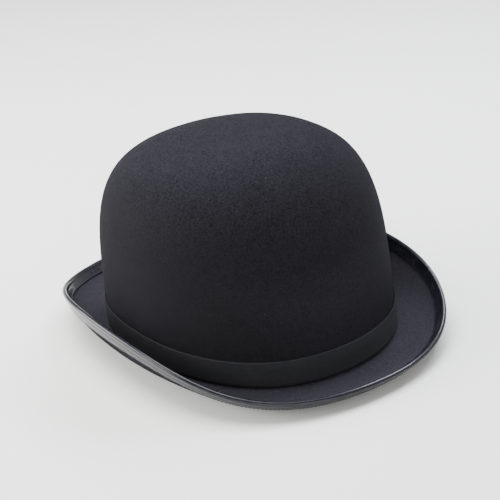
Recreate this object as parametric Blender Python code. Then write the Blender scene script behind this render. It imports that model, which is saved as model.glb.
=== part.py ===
"""A felt bowler hat as its separate pieces: felt body, band and bow, bound brim, sweatband, lining.

Metres, +Z up. The hat stands on the front and the rear dip of its brim at z = 0 and faces -Y.
The origin is under the middle of its bounding box. Every layer is a loft of rings that follow the
head oval, so it is described by a height up the crown, or a run along the brim, and by a lift off
the felt's outer face. A negative lift lies inside the crown or under the brim.
"""

import math

import bmesh
import bpy
from mathutils import Vector

MM = 0.001

# The head oval: a superellipse on the felt's outer face at the foot of the crown.
HALF_WIDTH = 85.9 * MM
HALF_LENGTH = 106.4 * MM
OVAL_POWER = 2.25
SIDES = 48

# The crown: it spreads a little in width and narrows in length towards the dome.
CROWN_HEIGHT = 124.2 * MM
DOME_RISE_POWER = 4.2
DOME_PLAN_POWER = 4.2
CROWN_SPREAD = 0.047
CROWN_TAPER = 0.17

# The brim's section: a small fillet out of the crown wall, then one arc that curls up.
FELT = 1.8 * MM
BREAK_RADIUS = 2.2 * MM
BRIM_RUN = 31.7 * MM
SIDE_ANGLES = (math.radians(30), math.radians(82))
FRONT_ANGLES = (math.radians(-19), math.radians(45))
REAR_ANGLES = (math.radians(-5), math.radians(51))
SIDE_BLEND_POWER = 4.4
FRONT_DIP = 4.4 * MM
PAD_DEPTH = 0.6 * MM

# Layers: the clearance between two pieces that touch, how loosely the lining hangs inside the
# felt, and the thickness of each cloth.
GAP = 0.3 * MM
LINING_SLACK = 0.9 * MM
RIBBON = 0.5 * MM
TAPE = 0.4 * MM
LINING = 0.3 * MM
LEATHER = 0.9 * MM
LABEL = 0.3 * MM

# The band, and the flat bow that joins its ends on the wearer's left (+X).
BAND_HEIGHT = 16.0 * MM
BOW_LENGTH = 44.0 * MM
BOW_SHIFT = 9.0 * MM
BOW_THICKNESS = 1.6 * MM
BOW_WAIST = 0.72
KNOT_LENGTH = 9.0 * MM

# The brim's edge: a wire inside a folded tape, and the stitching along both of its legs.
WIRE_RADIUS = 0.8 * MM
TAPE_LEG = 6.5 * MM
STITCH_INSET = 1.1 * MM
THREAD_RADIUS = 0.2 * MM

# Inside the crown, as heights above the line where the crown breaks into the brim.
SWEATBAND_LOW = 2.4 * MM
SWEATBAND_HIGH = 36.0 * MM
REED_HEIGHT = 1.2 * MM
REED_RADIUS = 0.9 * MM
SWEATBAND_STITCH_HEIGHT = 4.6 * MM
LINING_LOW = 7.0 * MM
PIPING_RADIUS = 0.8 * MM
TIP_RISE = 0.72
TAIL_BOW = (20.0 * MM, 8.0 * MM, 0.8 * MM)
SIZE_LABEL = (24.0 * MM, 11.0 * MM)

# The care label, sewn on by its top edge and free to swing into the crown.
CARE_LABEL = (LABEL, 20.0 * MM, 27.0 * MM)
CARE_LABEL_CLEARANCE = 1.7 * MM

INSIDE = -(FELT + LINING_SLACK)
SWEATBAND_OUTER = INSIDE - LINING - GAP
SWEATBAND_INNER = SWEATBAND_OUTER - LEATHER
ANGLES = [2 * math.pi * index / SIDES for index in range(SIDES)]
SIDE = 0.0
REAR = math.pi / 2


def signed_power(value, power):
    return math.copysign(abs(value) ** power, value)


def steps(start, end, count):
    """Count + 1 even steps from start to end."""
    return [start + (end - start) * index / count for index in range(count + 1)]


def curl_radius(angles):
    """Radius of the arc that turns the brim from its first angle to its last."""
    return BRIM_RUN / (angles[1] - angles[0])


def droop(angles):
    """How far the brim's arc falls below the break line before it turns up."""
    return curl_radius(angles) * (1 - math.cos(min(angles[0], 0)))


def reach(angles):
    """How far the brim's bound edge stands out from the crown's foot in plan."""
    fillet = BREAK_RADIUS * (1 + math.sin(angles[0]))
    return fillet + curl_radius(angles) * (math.sin(angles[1]) - math.sin(angles[0]))


REAR_DIP = FRONT_DIP + droop(FRONT_ANGLES) - droop(REAR_ANGLES)
BREAK_HEIGHT = FRONT_DIP + droop(FRONT_ANGLES) + FELT - PAD_DEPTH
OVAL_SHIFT = (reach(FRONT_ANGLES) - reach(REAR_ANGLES)) / 2


def dip(theta):
    """How far the break line sinks at this angle round the oval."""
    return (FRONT_DIP if math.sin(theta) < 0 else REAR_DIP) * math.sin(theta) ** 2


def plan_point(theta, across=1.0, along=1.0):
    """Point on the head oval, scaled about its middle."""
    power = 2 / OVAL_POWER
    x = HALF_WIDTH * across * signed_power(math.cos(theta), power)
    y = HALF_LENGTH * along * signed_power(math.sin(theta), power)
    return Vector((x, y + OVAL_SHIFT, 0.0))


def plan_normal(theta):
    power = 2 - 2 / OVAL_POWER
    x = signed_power(math.cos(theta), power) / HALF_WIDTH
    y = signed_power(math.sin(theta), power) / HALF_LENGTH
    return Vector((x, y, 0.0)).normalized()


def crown_point(theta, rise):
    """Point on the crown's outer face; rise goes from 0 at the break line to 1 at the top."""
    dome = (1 - rise**DOME_RISE_POWER) ** (1 / DOME_PLAN_POWER)
    point = plan_point(theta, dome * (1 + CROWN_SPREAD * rise), dome * (1 - CROWN_TAPER * rise))
    point.z = BREAK_HEIGHT + CROWN_HEIGHT * rise - dip(theta) * (1 - rise)
    return point


def crown_skin(theta, rise, lift=0.0):
    """Point of a layer on the crown, lifted off its outer face."""
    step = 0.01 * (1 - rise)
    around = crown_point(theta + step, rise) - crown_point(theta - step, rise)
    upward = crown_point(theta, rise + step) - crown_point(theta, max(rise - step, 0.0))
    return crown_point(theta, rise) + around.cross(upward).normalized() * lift


def wall_skin(theta, height, lift=0.0):
    """As crown_skin, at a height in metres above the break line."""
    return crown_skin(theta, height / (CROWN_HEIGHT + dip(theta)), lift)


def brim_angles(theta):
    """First and last angle of the brim's arc, between the dips and the curled sides."""
    ends = FRONT_ANGLES if math.sin(theta) < 0 else REAR_ANGLES
    share = abs(plan_normal(theta).x) ** SIDE_BLEND_POWER
    return tuple(end + (side - end) * share for end, side in zip(ends, SIDE_ANGLES))


def section_point(theta, offset, height, angle, lift):
    """Point of the brim's section, which stands upright along the oval's normal."""
    foot = wall_skin(theta, BREAK_RADIUS * math.cos(brim_angles(theta)[0]))
    outward = offset - lift * math.sin(angle)
    upward = height + lift * math.cos(angle)
    return foot + plan_normal(theta) * outward + Vector((0.0, 0.0, upward))


def fillet_skin(theta, share, lift=0.0):
    """Point on the fillet from the crown's wall, share 0, to the brim, share 1."""
    angle = -math.pi / 2 + share * (brim_angles(theta)[0] + math.pi / 2)
    offset = BREAK_RADIUS * (1 + math.sin(angle))
    return section_point(theta, offset, -BREAK_RADIUS * math.cos(angle), angle, lift)


def brim_skin(theta, run, lift=0.0, beyond=0.0):
    """Point on the brim at this run along its arc, and straight on past it by beyond."""
    first, last = brim_angles(theta)
    radius = curl_radius((first, last))
    angle = first + run / radius
    offset = BREAK_RADIUS * (1 + math.sin(first)) + radius * (math.sin(angle) - math.sin(first))
    height = -BREAK_RADIUS * math.cos(first) + radius * (math.cos(first) - math.cos(angle))
    offset += beyond * math.cos(angle)
    height += beyond * math.sin(angle)
    return section_point(theta, offset, height, angle, lift)


def edge_skin(theta, radius, turn):
    """Point at this radius round the brim wire's centre; turn 0 is above it, pi below it."""
    beyond = GAP + WIRE_RADIUS + radius * math.sin(turn)
    return brim_skin(theta, BRIM_RUN, -FELT / 2 + radius * math.cos(turn), beyond)


def ring(skin, *place):
    """One ring of a layer, all the way round the oval."""
    return [skin(theta, *place) for theta in ANGLES]


def angle_from_side(along):
    """Angle round the oval, near +X, at this distance from the side's middle."""
    return math.asin(signed_power(along / HALF_LENGTH, OVAL_POWER / 2))


def angle_from_rear(across):
    """Angle round the oval, near +Y, at this distance from the rear's middle."""
    return REAR - math.asin(signed_power(across / HALF_WIDTH, OVAL_POWER / 2))


def principled(name, colour, roughness, metallic=0.0):
    """A material with one Principled BSDF."""
    material = bpy.data.materials.new(name)
    material.use_nodes = True
    shader = material.node_tree.nodes["Principled BSDF"]
    shader.inputs["Base Color"].default_value = (*colour, 1.0)
    shader.inputs["Roughness"].default_value = roughness
    shader.inputs["Metallic"].default_value = metallic
    material.diffuse_color = (*colour, 1.0)
    return material


def finish_piece(name, body, material, location=(0.0, 0.0, 0.0)):
    """Turn a bmesh into a named, smooth-shaded object of the hat."""
    bmesh.ops.recalc_face_normals(body, faces=body.faces)
    mesh = bpy.data.meshes.new(name)
    body.to_mesh(mesh)
    body.free()
    mesh.materials.append(material)
    mesh.shade_smooth()
    mesh.set_sharp_from_angle(angle=math.radians(40))
    piece = bpy.data.objects.new(name, mesh)
    piece.location = location
    piece.parent = bpy.data.objects["bowler_hat_root"]
    bpy.data.collections["bowler_hat"].objects.link(piece)
    return piece


def join_loops(body, lower, upper):
    for index, vertex in enumerate(lower):
        after = (index + 1) % len(lower)
        body.faces.new((vertex, lower[after], upper[after], upper[index]))


def loft(name, rings, material, closed=False, poles=None):
    """Skin a run of rings: closed on itself, or ended by two pole points, or by flat caps."""
    body = bmesh.new()
    loops = [[body.verts.new(point) for point in points] for points in rings]
    for lower, upper in zip(loops, loops[1:]):
        join_loops(body, lower, upper)
    if closed:
        join_loops(body, loops[-1], loops[0])
    elif poles:
        for loop, pole in zip((loops[0], loops[-1]), poles):
            apex = body.verts.new(pole)
            for index, vertex in enumerate(loop):
                body.faces.new((vertex, loop[(index + 1) % len(loop)], apex))
    else:
        body.faces.new(loops[0])
        body.faces.new(loops[-1])
    return finish_piece(name, body, material)


def cord_loft(name, skin, place, lift, radius, count, material):
    """A round cord or thread all the way round, at one place on a skin."""
    rings = []
    for index in range(count):
        turn = 2 * math.pi * index / count
        nearby = place + radius * math.cos(turn)
        rings.append(ring(skin, nearby, lift + radius * math.sin(turn)))
    return loft(name, rings, material, closed=True)


def apex(lift):
    """Point of a layer at the very top of the crown."""
    return Vector((0.0, OVAL_SHIFT, BREAK_HEIGHT + CROWN_HEIGHT + lift))


def dome_rises(start, end_turn, count):
    """Rises from start towards the top, spaced evenly round the dome's curve."""
    first = math.asin(start ** (DOME_RISE_POWER / 2))
    return [math.sin(turn) ** (2 / DOME_RISE_POWER) for turn in steps(first, end_turn, count)]


def make_felt_body(material):
    """Crown and brim: one blocked piece of stiff felt, pressed flat where the dips rest."""
    wall = steps(BREAK_RADIUS * 2, 0.55 * CROWN_HEIGHT, 3)
    dome = dome_rises(0.62, math.radians(78), 6)
    runs = steps(0.0, BRIM_RUN, 8)
    rings = []
    for lift in (0.0, -FELT):
        side = [ring(fillet_skin, share, lift) for share in (1.0, 0.5, 0.0)][1:]
        side += [ring(wall_skin, height, lift) for height in wall]
        side += [ring(crown_skin, rise, lift) for rise in dome]
        brim = [ring(brim_skin, run, lift) for run in reversed(runs)]
        rings.append(brim + side)
    for under in rings[1]:
        for point in under:
            point.z = max(point.z, 0.0)
    rings = list(reversed(rings[0])) + rings[1]
    loft("felt_body", rings, material, poles=(apex(0.0), apex(-FELT)))


def make_hat_band(material):
    """Ribbon round the foot of the crown."""
    low, high = BREAK_RADIUS + GAP, BREAK_RADIUS + GAP + BAND_HEIGHT
    corners = ((low, GAP), (high, GAP), (high, GAP + RIBBON), (low, GAP + RIBBON))
    loft("hat_band", [ring(wall_skin, *corner) for corner in corners], material, closed=True)


def wrap_loop(theta, middle, half_height, low_lift, high_lift):
    """Flat section with eased corners, standing on the crown's wall at one angle."""
    ease = (high_lift - low_lift) / 3
    loop = []
    for side in (1, -1):
        lifts = (low_lift, low_lift + ease, high_lift - ease, high_lift)
        heights = (half_height - abs(ease), half_height, half_height, half_height - abs(ease))
        for lift, height in zip(lifts[::side], heights[::side]):
            loop.append(wall_skin(theta, middle + side * height, lift))
    return loop


def make_band_bow(material):
    """Folded flat bow: two wings gathered at the waist that the knot holds."""
    middle = BREAK_RADIUS + GAP + BAND_HEIGHT / 2
    low = GAP + RIBBON + GAP + TAPE + GAP
    loops = []
    for along in steps(-BOW_LENGTH / 2, BOW_LENGTH / 2, 8):
        spread = min(abs(along) / (BOW_LENGTH / 4), 1.0)
        half_height = BAND_HEIGHT / 2 * (BOW_WAIST + (0.94 - BOW_WAIST) * spread)
        high = low + BOW_THICKNESS * (0.8 + 0.2 * spread)
        loops.append(wrap_loop(angle_from_side(along + BOW_SHIFT), middle, half_height, low, high))
    loft("band_bow", loops, material)


def make_band_knot(material):
    """Loop of ribbon round the bow's waist."""
    middle = BREAK_RADIUS + GAP + BAND_HEIGHT / 2
    inner_half = BAND_HEIGHT / 2 * (BOW_WAIST + (0.94 - BOW_WAIST) * 0.5) + GAP
    inner_low = GAP + RIBBON + GAP + TAPE
    inner_high = inner_low + GAP + BOW_THICKNESS + GAP
    ends = [angle_from_side(BOW_SHIFT + side * KNOT_LENGTH / 2) for side in (-1, 1)]
    outer = (inner_half + TAPE, inner_low - TAPE, inner_high + TAPE)
    inner = (inner_half, inner_low, inner_high)
    places = ((ends[0], outer), (ends[1], outer), (ends[1], inner), (ends[0], inner))
    loops = [wrap_loop(theta, middle, *size) for theta, size in places]
    loft("band_knot", loops, material, closed=True)


def make_brim_binding(material):
    """Folded tape over the brim's edge, round the wire."""
    legs = steps(BRIM_RUN - TAPE_LEG, BRIM_RUN, 2)
    turns = steps(0.0, math.pi, 4)
    rings = []
    for clear, order in ((GAP + TAPE, 1), (GAP, -1)):
        face = [ring(brim_skin, run, clear) for run in legs]
        face += [ring(edge_skin, FELT / 2 + clear, turn) for turn in turns]
        face += [ring(brim_skin, run, -FELT - clear) for run in reversed(legs)]
        rings += face[::order]
    loft("brim_binding", rings, material, closed=True)


def make_brim_wire(material):
    """Springy wire that holds the curl, welded into one loop."""
    turns = steps(0.0, 2 * math.pi, 6)[:-1]
    loft("brim_wire", [ring(edge_skin, WIRE_RADIUS, turn) for turn in turns], material, closed=True)


def make_binding_stitching(material):
    """The thread along each leg of the tape."""
    run = BRIM_RUN - TAPE_LEG + STITCH_INSET
    clear = GAP + TAPE + GAP + THREAD_RADIUS
    cord_loft("binding_stitch_upper", brim_skin, run, clear, THREAD_RADIUS, 4, material)
    cord_loft("binding_stitch_lower", brim_skin, run, -FELT - clear, THREAD_RADIUS, 4, material)


def make_sweatband(leather, reed, thread):
    """Leather strip inside the crown, the reed along its lower edge and the seam above that."""
    corners = (
        (SWEATBAND_LOW, SWEATBAND_OUTER),
        (SWEATBAND_HIGH, SWEATBAND_OUTER),
        (SWEATBAND_HIGH, SWEATBAND_INNER),
        (SWEATBAND_LOW, SWEATBAND_INNER),
    )
    loft("sweatband", [ring(wall_skin, *corner) for corner in corners], leather, closed=True)
    middle = (SWEATBAND_OUTER + SWEATBAND_INNER) / 2
    cord_loft("sweatband_reed", wall_skin, REED_HEIGHT, middle, REED_RADIUS, 6, reed)
    seam = SWEATBAND_INNER - GAP - THREAD_RADIUS
    height = SWEATBAND_STITCH_HEIGHT
    cord_loft("sweatband_stitch", wall_skin, height, seam, THREAD_RADIUS, 4, thread)


def make_sweatband_bow(material):
    """Small bow inside the rear of the sweatband, over the joint of its ends."""
    length, height, thickness = TAIL_BOW
    middle = SWEATBAND_HIGH - height
    low = SWEATBAND_INNER - GAP
    loops = []
    for across in steps(-length / 2, length / 2, 4):
        spread = abs(across) / (length / 2)
        half_height = height / 2 * (0.5 + 0.5 * spread)
        loops.append(wrap_loop(angle_from_rear(across), middle, half_height, low, low - thickness))
    loft("sweatband_bow", loops, material)


def make_size_label(material):
    """Blank size label on the inside of the sweatband, opposite the bow."""
    width, height = SIZE_LABEL
    middle = SWEATBAND_LOW + (SWEATBAND_HIGH - SWEATBAND_LOW) / 2
    low = SWEATBAND_INNER - GAP
    loops = []
    for across in steps(-width / 2, width / 2, 3):
        theta = -angle_from_rear(across)
        loops.append(wrap_loop(theta, middle, height / 2, low, low - LABEL))
    loft("size_label", loops, material)


def make_lining(satin, cord):
    """Side wall and tip of the lining, with the piping in the seam between them."""
    rings = [ring(wall_skin, height, INSIDE) for height in steps(LINING_LOW, SWEATBAND_HIGH, 1)]
    upper = dome_rises(0.5, math.asin(TIP_RISE ** (DOME_RISE_POWER / 2)), 3)
    rings += [ring(crown_skin, rise, INSIDE) for rise in upper]
    back = [ring(crown_skin, rise, INSIDE - LINING) for rise in reversed(upper)]
    lower = steps(SWEATBAND_HIGH, LINING_LOW, 1)
    back += [ring(wall_skin, height, INSIDE - LINING) for height in lower]
    loft("lining_side", rings + back, satin, closed=True)

    seam = TIP_RISE * CROWN_HEIGHT + GAP + PIPING_RADIUS
    first = (seam + PIPING_RADIUS + GAP) / CROWN_HEIGHT
    tip = dome_rises(first, math.radians(78), 4)
    outer = [ring(crown_skin, rise, INSIDE) for rise in tip]
    inner = [ring(crown_skin, rise, INSIDE - LINING) for rise in tip]
    poles = (apex(INSIDE), apex(INSIDE - LINING))
    loft("lining_tip", outer[::-1] + inner, satin, poles=poles)
    turns = steps(0.0, 2 * math.pi, 6)[:-1]
    rings = []
    for turn in turns:
        rise = (seam + PIPING_RADIUS * math.cos(turn)) / CROWN_HEIGHT
        lift = INSIDE - PIPING_RADIUS + PIPING_RADIUS * math.sin(turn)
        rings.append(ring(crown_skin, rise, lift))
    loft("lining_piping", rings, cord, closed=True)


def make_care_label(material):
    """Blank woven label; its origin is on the seam it swings about."""
    seam = wall_skin(SIDE, SWEATBAND_HIGH, SWEATBAND_INNER)
    body = bmesh.new()
    bmesh.ops.create_cube(body, size=1.0)
    bmesh.ops.scale(body, vec=CARE_LABEL, verts=body.verts)
    bmesh.ops.translate(body, vec=(0.0, 0.0, -CARE_LABEL[2] / 2), verts=body.verts)
    place = seam + Vector((-CARE_LABEL_CLEARANCE - LABEL / 2, -OVAL_SHIFT, 0.0))
    finish_piece("care_label", body, material, place)


def clear_scene():
    for item in list(bpy.data.objects):
        bpy.data.objects.remove(item)


def main():
    clear_scene()
    collection = bpy.data.collections.new("bowler_hat")
    bpy.context.scene.collection.children.link(collection)
    root = bpy.data.objects.new("bowler_hat_root", None)
    collection.objects.link(root)

    felt = principled("black_felt", (0.018, 0.018, 0.022), 0.92)
    ribbon = principled("black_ribbon", (0.014, 0.014, 0.016), 0.6)
    tape = principled("black_satin_tape", (0.02, 0.02, 0.024), 0.3)
    wire = principled("spring_wire", (0.45, 0.45, 0.47), 0.35, 1.0)
    thread = principled("black_thread", (0.02, 0.02, 0.02), 0.7)
    leather = principled("brown_leather", (0.16, 0.075, 0.035), 0.5)
    reed = principled("brown_reed", (0.10, 0.045, 0.02), 0.45)
    satin = principled("black_satin_lining", (0.02, 0.02, 0.023), 0.35)
    label = principled("white_label", (0.75, 0.74, 0.7), 0.8)

    make_felt_body(felt)
    make_hat_band(ribbon)
    make_band_bow(ribbon)
    make_band_knot(ribbon)
    make_brim_binding(tape)
    make_brim_wire(wire)
    make_binding_stitching(thread)
    make_sweatband(leather, reed, thread)
    make_sweatband_bow(ribbon)
    make_size_label(label)
    make_lining(satin, satin)
    make_care_label(label)


main()
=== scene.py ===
"""The looks of a felt bowler hat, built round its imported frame.

Metres, +Z up, and the hat faces -Y. Every layer is a loft of rings that follow the head oval, as
the frame's solids are: a ring has a height up the crown, or a run along the brim, and a lift off
the felt's outer face. A negative lift lies inside the crown or under the brim.
"""

import math

import bmesh
import bpy
import numpy as np
from mathutils import Matrix, Vector


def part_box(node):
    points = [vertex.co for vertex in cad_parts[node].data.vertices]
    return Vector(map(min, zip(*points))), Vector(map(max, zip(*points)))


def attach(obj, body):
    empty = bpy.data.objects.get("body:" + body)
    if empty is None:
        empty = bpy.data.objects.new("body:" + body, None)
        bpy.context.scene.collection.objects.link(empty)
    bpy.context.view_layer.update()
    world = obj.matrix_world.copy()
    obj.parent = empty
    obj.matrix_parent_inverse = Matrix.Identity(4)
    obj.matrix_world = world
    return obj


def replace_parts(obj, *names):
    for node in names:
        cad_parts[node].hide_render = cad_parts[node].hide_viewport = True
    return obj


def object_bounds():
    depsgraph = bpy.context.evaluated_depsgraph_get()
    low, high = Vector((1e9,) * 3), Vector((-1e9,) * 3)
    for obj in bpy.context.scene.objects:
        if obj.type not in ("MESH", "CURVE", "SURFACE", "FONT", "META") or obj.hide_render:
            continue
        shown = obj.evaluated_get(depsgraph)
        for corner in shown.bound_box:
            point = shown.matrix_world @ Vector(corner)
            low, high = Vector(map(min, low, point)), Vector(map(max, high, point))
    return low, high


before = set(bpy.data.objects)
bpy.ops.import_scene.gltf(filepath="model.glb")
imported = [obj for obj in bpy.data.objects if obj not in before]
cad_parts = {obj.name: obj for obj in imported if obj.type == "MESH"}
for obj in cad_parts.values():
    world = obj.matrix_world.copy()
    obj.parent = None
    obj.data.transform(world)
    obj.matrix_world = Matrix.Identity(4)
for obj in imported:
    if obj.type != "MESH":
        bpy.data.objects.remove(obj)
CAD_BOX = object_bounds()
MM = 0.001
QUARTER_TURN = math.pi / 2
FULL_TURN = 2 * math.pi
ROUND = 384  # columns round the felt; finer pieces have a multiple of it

# The head oval and the crown, as the frame's solids have them.
HALF_WIDTH = 85.9 * MM
HALF_LENGTH = 106.4 * MM
OVAL_POWER = 2.25
CROWN_HEIGHT = 124.2 * MM
DOME_POWER = 4.2
CROWN_SPREAD = 0.047
CROWN_TAPER = 0.17

# The felt's rings step evenly in height up to WALL_RISE, then by bearing from DOME_RISE to
# NEAR_APEX, where a fan closes them. The lining's step by bearing from LINING_DOME_RISE. All are
# shares of the crown's height.
WALL_RISE = 0.3
DOME_RISE = 0.33
LINING_DOME_RISE = 0.36
NEAR_APEX = 0.99999

# The brim's section: a small fillet out of the crown wall, then one arc that curls up.
FELT = 1.8 * MM
BREAK_RADIUS = 2.2 * MM
BRIM_RUN = 31.7 * MM
SIDE_ANGLES = (math.radians(30), math.radians(82))
FRONT_ANGLES = (math.radians(-19), math.radians(45))
REAR_ANGLES = (math.radians(-5), math.radians(51))
SIDE_BLEND_POWER = 4.4
FRONT_DIP = 4.4 * MM

# Layers and trims. Each AT, the WIDTH with it and the TURN are angles round the hat, in radians.
GAP = 0.3 * MM
LINING_SLACK = 0.9 * MM
RIBBON = 0.5 * MM
TAPE = 0.4 * MM
LINING = 0.3 * MM
LEATHER = 0.9 * MM
LABEL = 0.3 * MM
BAND_HEIGHT = 16.0 * MM
BAND_GAPE = 0.5 * MM
BAND_GAPE_AT = math.radians(303)
BAND_GAPE_WIDTH = 0.16
BOW_LENGTH = 44.0 * MM
BOW_SHIFT = 9.0 * MM
BOW_WAIST = 0.72
WING_HEIGHT = 0.94  # a share of the ribbon's height, as BOW_WAIST is
KNOT_LENGTH = 9.0 * MM
WIRE_RADIUS = 0.8 * MM
TAPE_LEG = 6.5 * MM
PUCKER_AT = math.radians(228)
PUCKER_WIDTH = 0.35
PUCKER_LEAST = 0.06
LOWER_LEG_TURN = 0.4
STITCH_INSET = 1.1 * MM
BINDING_STITCH_PITCH = 2.4 * MM
BINDING_STITCH_RADIUS = 0.08 * MM
THREAD_TAPER = 0.93  # 1 would bring each stitch to a point
SWEATBAND_LOW = 2.4 * MM
SWEATBAND_HIGH = 36.0 * MM
REED_HEIGHT = 1.2 * MM
REED_RADIUS = 0.9 * MM
REED_CREASES = 90
SWEATBAND_STITCH_HEIGHT = 4.6 * MM
SWEATBAND_STITCH_PITCH = 3.4 * MM
SWEATBAND_STITCH_RADIUS = 0.2 * MM
LINING_LOW = 7.0 * MM
PIPING_RADIUS = 0.8 * MM
PIPING_TWISTS = 110
TIP_RISE = 0.72
PIPING_RISE = TIP_RISE + (GAP + PIPING_RADIUS) / CROWN_HEIGHT

INSIDE = -(FELT + LINING_SLACK)
SWEATBAND_OUTER = INSIDE - LINING - GAP
SWEATBAND_INNER = SWEATBAND_OUTER - LEATHER
SWEATBAND_MIDDLE = (SWEATBAND_OUTER + SWEATBAND_INNER) / 2

# The camera: its bearing and elevation seen from the hat, its roll, distance and lens.
CAMERA_BEARING = math.radians(-31.16)
CAMERA_ELEVATION = math.radians(23.773)
CAMERA_ROLL = math.radians(-5.784)
CAMERA_DISTANCE = 0.9579
CAMERA_LENS_MM = 105.3
CAMERA_AIM = (4.665 * MM, 51.63 * MM)  # to the camera's right, and up from the floor

# The stage: a round floor that bends up into a wall, pale light all round and four softboxes, each
# with its name, place, size, power in watts and colour.
FLOOR_RADIUS = 2.2
WALL_BEND = 1.0
WALL_HEIGHT = 2.6
WORLD_COLOUR = (0.93, 0.95, 1.0)
WORLD_STRENGTH = 0.45
SOFTBOX_AIM = (0.0, 0.0, 0.06)
SOFTBOXES = (
    ("top_softbox", (-0.15, 0.25, 1.25), (1.0, 1.0), 36, (0.97, 0.97, 1.0)),
    ("left_softbox", (-0.95, 0.75, 0.4), (1.5, 0.5), 36, (1.0, 1.0, 1.0)),
    ("right_softbox", (0.62, 0.16, 0.9), (0.7, 0.22), 15, (0.86, 0.92, 1.0)),
    ("front_softbox", (-0.4, -1.1, 0.32), (0.9, 0.4), 7, (0.97, 0.98, 1.0)),
)


# --- The hat's surfaces ---------------------------------------------------------------------------


def signed_power(value, power):
    return np.sign(value) * np.abs(value) ** power


def curl_radius(angles):
    """Radius of the arc that turns the brim from its first angle to its last."""
    return BRIM_RUN / (angles[1] - angles[0])


def droop(angles):
    """How far the brim's arc falls below the break line before it turns up."""
    return curl_radius(angles) * (1 - math.cos(min(angles[0], 0)))


def reach(angles):
    """How far the brim's bound edge stands out from the crown's foot in plan."""
    fillet = BREAK_RADIUS * (1 + math.sin(angles[0]))
    return fillet + curl_radius(angles) * (math.sin(angles[1]) - math.sin(angles[0]))


REAR_DIP = FRONT_DIP + droop(FRONT_ANGLES) - droop(REAR_ANGLES)
BREAK_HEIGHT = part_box("felt_body")[1].z - CROWN_HEIGHT
OVAL_SHIFT = (reach(FRONT_ANGLES) - reach(REAR_ANGLES)) / 2  # centres the brim's ends on the frame
FLOOR = CAD_BOX[0].z


def dip(theta):
    """How far the break line sinks at this angle round the oval."""
    return np.where(np.sin(theta) < 0, FRONT_DIP, REAR_DIP) * np.sin(theta) ** 2


def plan_normal(theta):
    """The oval's outward normal seen from above."""
    power = 2 - 2 / OVAL_POWER
    x = signed_power(np.cos(theta), power) / HALF_WIDTH
    y = signed_power(np.sin(theta), power) / HALF_LENGTH
    size = np.hypot(x, y)
    return x / size, y / size


def stacked(x, y, z):
    """Points from coordinates whose shapes broadcast together."""
    return np.stack(np.broadcast_arrays(x, y, z), axis=-1)


def crown_point(theta, turn):
    """Point on the crown's outer face; turn goes from 0 at the break line to a quarter turn at the top."""
    rise = np.sin(turn) ** (2 / DOME_POWER)
    dome = np.cos(turn) ** (2 / DOME_POWER)
    power = 2 / OVAL_POWER
    x = HALF_WIDTH * dome * (1 + CROWN_SPREAD * rise) * signed_power(np.cos(theta), power)
    y = HALF_LENGTH * dome * (1 - CROWN_TAPER * rise) * signed_power(np.sin(theta), power)
    return stacked(x, y + OVAL_SHIFT, BREAK_HEIGHT + CROWN_HEIGHT * rise - dip(theta) * (1 - rise))


def crown_skin(theta, turn, lift=0.0):
    """Point of a layer on the crown, lifted along the normal of its outer face."""
    aside = 0.002
    step = 0.02 * np.minimum(turn, QUARTER_TURN - turn)
    around = crown_point(theta + aside, turn) - crown_point(theta - aside, turn)
    upward = crown_point(theta, turn + step) - crown_point(theta, turn - step)
    normal = np.cross(around, upward)
    normal /= np.linalg.norm(normal, axis=-1, keepdims=True)
    return crown_point(theta, turn) + normal * np.asarray(lift)[..., None]


def turn_at_rise(rise):
    return np.arcsin(rise ** (DOME_POWER / 2))


def wall_skin(theta, height, lift=0.0):
    """As crown_skin, at a height above the break line."""
    return crown_skin(theta, turn_at_rise(height / (CROWN_HEIGHT + dip(theta))), lift)


def brim_angles(theta):
    """First and last angle of the brim's arc, between the dips and the curled sides."""
    share = np.abs(plan_normal(theta)[0]) ** SIDE_BLEND_POWER
    ends = zip(FRONT_ANGLES, REAR_ANGLES, SIDE_ANGLES)
    front = np.sin(theta) < 0
    return [np.where(front, ahead, behind) * (1 - share) + side * share for ahead, behind, side in ends]


def section_point(theta, offset, height, angle, lift):
    """Point of the brim's section, which stands upright along the oval's normal."""
    foot = wall_skin(theta, BREAK_RADIUS * np.cos(brim_angles(theta)[0]))
    outward = offset - lift * np.sin(angle)
    x, y = plan_normal(theta)
    point = foot + stacked(x * outward, y * outward, height + lift * np.cos(angle))
    point[..., 2] = np.maximum(point[..., 2], FLOOR)
    return point


def fillet_skin(theta, share, lift=0.0):
    """Point on the fillet from the crown's wall, share 0, to the brim, share 1."""
    angle = -QUARTER_TURN + share * (brim_angles(theta)[0] + QUARTER_TURN)
    offset = BREAK_RADIUS * (1 + np.sin(angle))
    return section_point(theta, offset, -BREAK_RADIUS * np.cos(angle), angle, lift)


def brim_skin(theta, run, lift=0.0, beyond=0.0):
    """Point on the brim at this run along its arc, and straight on past it by beyond."""
    first, last = brim_angles(theta)
    radius = curl_radius((first, last))
    angle = first + run / radius
    offset = BREAK_RADIUS * (1 + np.sin(first)) + radius * (np.sin(angle) - np.sin(first))
    height = -BREAK_RADIUS * np.cos(first) + radius * (np.cos(first) - np.cos(angle))
    offset = offset + beyond * np.cos(angle)
    return section_point(theta, offset, height + beyond * np.sin(angle), angle, lift)


def edge_skin(theta, radius, turn):
    """Point at this radius round the brim wire's centre; turn 0 is above it, pi below it."""
    beyond = GAP + WIRE_RADIUS + radius * np.sin(turn)
    return brim_skin(theta, BRIM_RUN, -FELT / 2 + radius * np.cos(turn), beyond)


def apex(lift):
    return (0.0, OVAL_SHIFT, BREAK_HEIGHT + CROWN_HEIGHT + lift)


def bearing_at_rise(rise):
    """Bearing from the middle of the crown's foot to its outline at this rise."""
    return math.atan2(rise, (1 - rise**DOME_POWER) ** (1 / DOME_POWER))


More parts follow.
